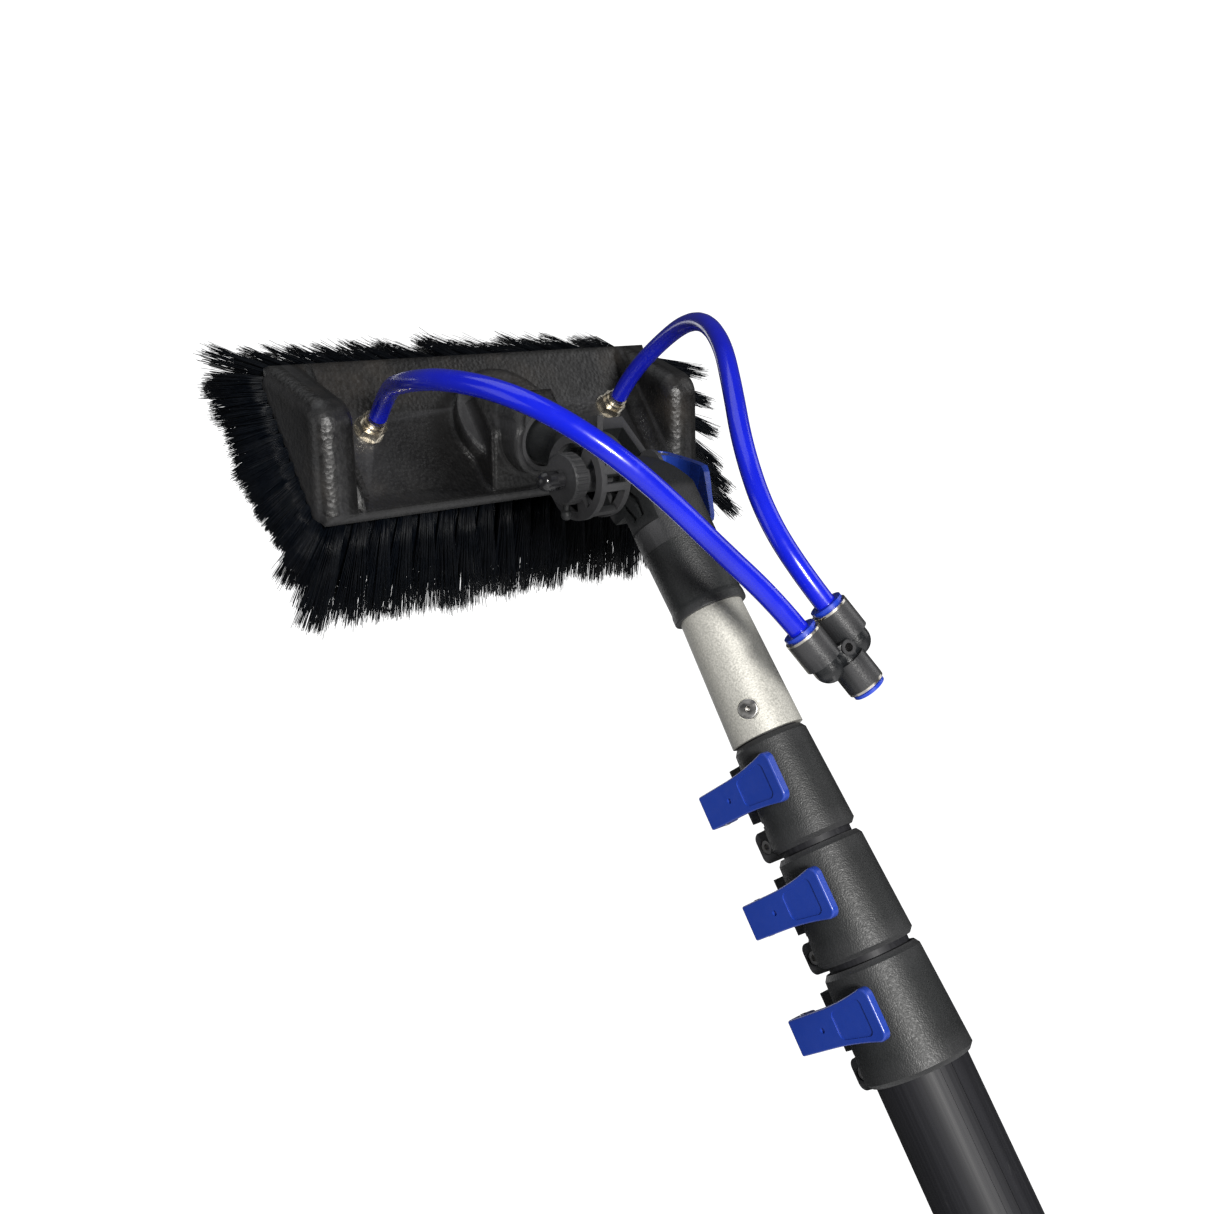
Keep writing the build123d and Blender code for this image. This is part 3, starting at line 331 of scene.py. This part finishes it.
GRAIN_DARK = (0.004, 0.0046, 0.005)
GRAIN_LIGHT = (0.010, 0.0112, 0.0118)
SLOT_MATERIALS = {
    "black_tube": black_anodised(),
    "clamp_plastic": grained_plastic("clamp_moulding", GRAIN_DARK, GRAIN_LIGHT, 1700.0, 0.00012, 0.52),
    "head_plastic": grained_plastic("head_moulding", GRAIN_DARK, GRAIN_LIGHT, 1900.0, 0.0001, 0.48),
    "block_plastic": grained_plastic("block_moulding", (0.003, 0.003, 0.0034), (0.010, 0.0097, 0.0096),
                                     520.0, 0.00022, 0.36, 0.3, 0.004),
    "tee_plastic": grained_plastic("tee_moulding", (0.004, 0.0045, 0.0052), (0.009, 0.010, 0.0115),
                                   2400.0, 0.00004, 0.3),
    "black_gloss": grained_plastic("gloss_moulding", (0.008, 0.008, 0.009), (0.016, 0.016, 0.018),
                                   1200.0, 0.00004, 0.2),
    "lever_blue": blue_plastic("lever_moulding", (0.008, 0.032, 0.25), (0.014, 0.046, 0.32), 0.34),
    "hose_blue": hose_plastic(),
    "collet_blue": blue_plastic("collet_moulding", (0.008, 0.030, 0.33), (0.014, 0.048, 0.44), 0.3),
    "silver_sleeve": blasted_aluminium(),
    "steel": metal("turned_steel", (0.62, 0.61, 0.6), (0.34, 0.33, 0.31), 0.28),
    "nickel": metal("nickel_plate", (0.72, 0.68, 0.6), (0.45, 0.38, 0.27), 0.24),
    "nylon": pale_nylon(),
    "rubber": soft_rubber("black_rubber", (0.012, 0.012, 0.012)),
    "bristle": bristle_fibre(),
}


def dress_frame():
    """Give every node of the frame the material of its slot."""
    slots = {entry["node"]: entry["material_slot"] for entry in frame["record"]["subparts"]}
    for node, thing in frame["nodes"].items():
        thing.data.materials.clear()
        thing.data.materials.append(SLOT_MATERIALS[slots[node]])


dress_frame()


# ---- hoses ------------------------------------------------------------------------------
def make_hose(name, points):
    """One smooth spline through a hose's route."""
    curve = bpy.data.curves.new(name, "CURVE")
    curve.dimensions = "3D"
    curve.resolution_u = 16
    curve.bevel_depth = HOSE_RADIUS
    curve.bevel_resolution = 8
    curve.use_fill_caps = True
    spline = curve.splines.new("NURBS")
    spline.points.add(len(points) - 1)
    for control, point in zip(spline.points, points):
        control.co = (*point, 1.0)
    spline.order_u = 3
    spline.use_endpoint_u = True
    hose = bpy.data.objects.new(name, curve)
    bpy.context.scene.collection.objects.link(hose)
    curve.materials.append(SLOT_MATERIALS["hose_blue"])
    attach(hose, "brush")
    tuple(points[0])
    return hose


TEE_AXIS = Vector((0.452, 0.115, -0.885)).normalized()
TEE_ACROSS = Vector((0.843, -0.379, 0.381))
TEE_ACROSS = (TEE_ACROSS - TEE_AXIS * TEE_ACROSS.dot(TEE_AXIS)).normalized()
TEE_MOUTH = lip(-10.1, -56.2, -27.0)            # between the mouths of the two hose ports


def tee_port(side):
    """Last two points of a hose: before the tee's mouth, and seated in it."""
    mouth = TEE_MOUTH + TEE_ACROSS * (side * TEE_HALF_PITCH)
    return [mouth - TEE_AXIS * HOSE_STRAIGHT, mouth + TEE_AXIS * HOSE_SEATED]


LEFT_ROUTE = [
    Vector((-JET_X, HOSE_START_Y, JET_Z)),
    lip(-69.3, 53.5, 139.3), lip(-74.0, 38.5, 136.0), lip(-85.5, 18.0, 124.6), lip(-97.0, -8.5, 110.0),
    lip(-102.5, -32.5, 95.2), lip(-100.5, -52.5, 78.5), lip(-92.7, -64.7, 61.2), lip(-79.4, -69.8, 41.8),
    lip(-62.7, -67.6, 23.1), lip(-43.0, -60.6, 3.7), *tee_port(-1),
]
RIGHT_ROUTE = [
    Vector((JET_X, HOSE_START_Y, JET_Z)),
    lip(65.6, 48.5, 139.9), lip(60.9, 18.0, 137.3), lip(52.8, -8.3, 130.2), lip(40.9, -29.0, 116.3),
    lip(24.2, -45.5, 94.4), lip(7.1, -54.9, 69.3), lip(-7.2, -59.0, 41.3), lip(-13.9, -60.5, 12.8),
    *tee_port(1),
]


def make_hoses():
    """Both hoses, from the jets to the tee."""
    left = make_hose("water_hose_left", LEFT_ROUTE)
    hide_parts("hose_left")
    right = make_hose("water_hose_right", RIGHT_ROUTE)
    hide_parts("hose_right")


make_hoses()


# ---- bristles ---------------------------------------------------------------------------
class Tufts:
    """Collects bent filaments into one mesh."""

    SIDES = 3
    STEPS = 3

    def __init__(self, name, seed):
        self.name = name
        self.random = random.Random(seed)
        self.vertices = []
        self.faces = []

    def filament(self, root, direction, length, sag, radius):
        """One tapering filament that curves by sag over its length."""
        start = len(self.vertices)
        side = direction.orthogonal().normalized()
        other = direction.cross(side)
        for step in range(self.STEPS + 1):
            along = step / self.STEPS
            centre = root + direction * (length * along) + sag * (length * along * along)
            width = radius * (1.0 - FILAMENT_TAPER * along)
            for corner in range(self.SIDES):
                angle = 2 * math.pi * corner / self.SIDES
                outward = side * math.cos(angle) + other * math.sin(angle)
                self.vertices.append(centre + outward * width)
        for step in range(self.STEPS):
            for corner in range(self.SIDES):
                a = start + step * self.SIDES + corner
                b = start + step * self.SIDES + (corner + 1) % self.SIDES
                self.faces.append((a, b, b + self.SIDES, a + self.SIDES))
        first = tuple(start + corner for corner in reversed(range(self.SIDES)))
        last = tuple(start + self.STEPS * self.SIDES + corner for corner in range(self.SIDES))
        self.faces += [first, last]

    def tuft(self, root, direction, length, count, splay, pointed=0.1):
        """A bundle of filaments from one hole, its outer ones shorter where it is pointed."""
        direction = direction.normalized()
        side = direction.orthogonal().normalized()
        other = direction.cross(side)
        lean = Vector([self.random.gauss(0, 0.03) for _ in range(3)])
        bend = Vector([self.random.gauss(0, 0.03) for _ in range(3)])
        for _ in range(count):
            angle = self.random.uniform(0, 2 * math.pi)
            reach = math.sqrt(self.random.random())
            offset = side * math.cos(angle) + other * math.sin(angle)
            stray = 0.05 if self.random.random() < STRAY_SHARE else 0.014
            aim = (direction + lean + offset * (splay * reach) + Vector(
                [self.random.gauss(0, stray) for _ in range(3)])).normalized()
            sag = bend + Vector([self.random.gauss(0, 0.018) for _ in range(3)])
            trimmed = length * (1.0 - pointed * reach * self.random.random())
            self.filament(root + offset * (TUFT_RADIUS * reach), aim, trimmed, sag, FILAMENT)

    def finish(self, node):
        """Make the mesh and let it stand for its plain node."""
        mesh = bpy.data.meshes.new(self.name)
        mesh.from_pydata(self.vertices, [], self.faces)
        mesh.shade_smooth()
        mesh.materials.append(SLOT_MATERIALS["bristle"])
        thing = bpy.data.objects.new(self.name, mesh)
        bpy.context.scene.collection.objects.link(thing)
        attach(thing, "brush")
        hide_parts(node)


# rows of a flared bed: hole's height and depth, lean in degrees, share of the length, tufts in the row
FLARED_ROWS = (
    (0.0345, 0.0785, 44.0, 1.0, 19),
    (0.0290, 0.0820, 36.0, 1.0, 20),
    (0.0230, 0.0860, 27.0, 0.9, 19),
)


def flared_bed(name, sign, seed, longest, splay):
    """Long bed that leans up or down and fans out towards the block's ends."""
    tufts = Tufts(f"tufts_{name}", seed)
    for height, y, lean, share, columns in FLARED_ROWS:
        tilt = math.radians(lean)
        for column in range(columns):
            across = 2 * column / (columns - 1) - 1
            x = across * (BLOCK_HALF - 0.0105)
            fan = (0.2 if across < 0 else 0.36) * across * abs(across) ** 3
            direction = Vector((fan, math.cos(tilt), sign * math.sin(tilt)))
            root = Vector((x, y, BLOCK_Z + sign * height))
            tufts.tuft(root, direction, longest * share, FLARED_COUNT, splay)
    tufts.finish(f"bristles_{name}")


MIDDLE_ROWS = 4
MIDDLE_COLUMNS = 22
MIDDLE_LOW = -0.0135                            # lowest row, from the block's middle
MIDDLE_PITCH = 0.009                            # between rows
MIDDLE_WIDTH = 0.173
NOZZLE_CLEARANCE = 0.0085


def middle_bed():
    """Straight tufts on the block's plateau, clear of the two nozzles."""
    tufts = Tufts("tufts_middle", 13)
    for row in range(MIDDLE_ROWS):
        height = MIDDLE_LOW + MIDDLE_PITCH * row
        for column in range(MIDDLE_COLUMNS):
            x = -MIDDLE_WIDTH / 2 + MIDDLE_WIDTH * (column + 0.5 * (row % 2)) / MIDDLE_COLUMNS
            if abs(abs(x) - JET_X) > NOZZLE_CLEARANCE:
                root = Vector((x, FACE_Y - 0.001, BLOCK_Z + height))
                tufts.tuft(root, Vector((0, 1, height * 6)), 0.031, MIDDLE_COUNT, 0.07)
    tufts.finish("bristles_middle")


# rings of an end bed: hole's inset and depth, lean in degrees, length, tufts in the ring
LEFT_RINGS = (
    (0.002, 0.0800, 36.0, 0.025, 11),
    (0.008, 0.0850, 26.0, 0.029, 10),
    (0.014, 0.0885, 18.0, 0.028, 9),
)
RIGHT_RINGS = (
    (0.001, 0.0800, 86.0, 0.040, 6),
    (0.008, 0.0850, 50.0, 0.038, 7),
    (0.014, 0.0885, 24.0, 0.032, 9),
)
END_HALF_HEIGHT = 0.0335                        # of a ring's outermost holes, from the block's middle


def end_bed(name, sign, seed, rings, splay, pointed, slope):
    """Tufts that fan out round one end of the block, the more outward ones sloping more."""
    tufts = Tufts(f"tufts_{name}_end", seed)
    for inset, y, lean, length, rows in rings:
        tilt = math.radians(lean)
        for row in range(rows):
            across = 2 * row / (rows - 1) - 1
            rise = 0.6 * across + slope * math.sin(tilt)
            direction = Vector((sign * math.sin(tilt), math.cos(tilt), rise))
            root = Vector((sign * (BLOCK_HALF - inset), y, BLOCK_Z + END_HALF_HEIGHT * across))
            tufts.tuft(root, direction, length * (1 + 0.1 * across), END_COUNT, splay, pointed)
    tufts.finish(f"bristles_{name}_end")


def make_bristles():
    """All five beds."""
    flared_bed("top", 1, 11, 0.052, 0.045)
    flared_bed("bottom", -1, 12, 0.049, 0.085)
    middle_bed()
    end_bed("left", -1, 14, LEFT_RINGS, 0.14, 0.05, -0.05)
    end_bed("right", 1, 15, RIGHT_RINGS, 0.035, 0.45, -0.85)


make_bristles()


# ---- light and floor --------------------------------------------------------------------
def lamp(name, at, toward, size, power, tint=(1, 1, 1)):
    """Square area lamp aimed at a point."""
    light = bpy.data.lights.new(name, "AREA")
    light.size = size
    light.energy = power
    light.color = tint
    thing = bpy.data.objects.new(name, light)
    bpy.context.scene.collection.objects.link(thing)
    thing.location = at
    thing.rotation_euler = (Vector(toward) - Vector(at)).to_track_quat("-Z", "Y").to_euler()


def make_light():
    """Key lamp from the lower left front, a broad top lamp and weak fills."""
    head = lip(0, 20, 60)
    lamp("key", head + Vector((-0.46, -0.98, -0.36)), head, 0.16, 20.0, (1.0, 0.985, 0.96))
    lamp("top", head + Vector((-0.3, -0.5, 1.1)), head, 1.0, 3.5, (0.96, 0.98, 1.0))
    lamp("fill_right", head + Vector((1.2, -0.9, 0.2)), head, 0.8, 3.2)
    lamp("fill_left", head + Vector((-1.3, 0.2, 0.3)), head, 0.8, 1.8)
    lamp("behind", head + Vector((0.2, 1.3, 0.5)), head, 1.0, 4.0)
    world = bpy.data.worlds.new("studio")
    world.use_nodes = True
    background = world.node_tree.nodes["Background"]
    seen = world.node_tree.nodes.new("ShaderNodeBackground")
    seen.inputs["Color"].default_value = (1.0, 1.0, 1.0, 1.0)
    seen.inputs["Strength"].default_value = 1.15
    background.inputs["Color"].default_value = (0.95, 0.97, 1.0, 1.0)
    background.inputs["Strength"].default_value = 0.06
    path = world.node_tree.nodes.new("ShaderNodeLightPath")
    mix = world.node_tree.nodes.new("ShaderNodeMixShader")
    links = world.node_tree.links
    links.new(path.outputs["Is Camera Ray"], mix.inputs[0])
    links.new(background.outputs[0], mix.inputs[1])
    links.new(seen.outputs[0], mix.inputs[2])
    links.new(mix.outputs[0], world.node_tree.nodes["World Output"].inputs["Surface"])
    bpy.context.scene.world = world


def make_floor():
    """Plain pale floor under the pole."""
    mesh = bpy.data.meshes.new("floor")
    corners = [(x * FLOOR_REACH, y * FLOOR_REACH, 0) for x, y in ((-1, -1), (1, -1), (1, 1), (-1, 1))]
    mesh.from_pydata(corners, [], [(0, 1, 2, 3)])
    surface = Surface("pale_floor", Roughness=0.7, Emission_Color=(1.0, 1.0, 1.0, 1.0),
                      Emission_Strength=0.45)
    clouds = surface.noise(3.0, 3.0)
    surface.paint(surface.ramp(clouds, (0.3, (0.86, 0.86, 0.86)), (0.7, (0.9, 0.9, 0.9))))
    mesh.materials.append(surface.material)
    floor = bpy.data.objects.new("floor", mesh)
    bpy.context.scene.collection.objects.link(floor)


make_light()
make_floor()
bpy.context.scene.view_settings.view_transform = "Standard"
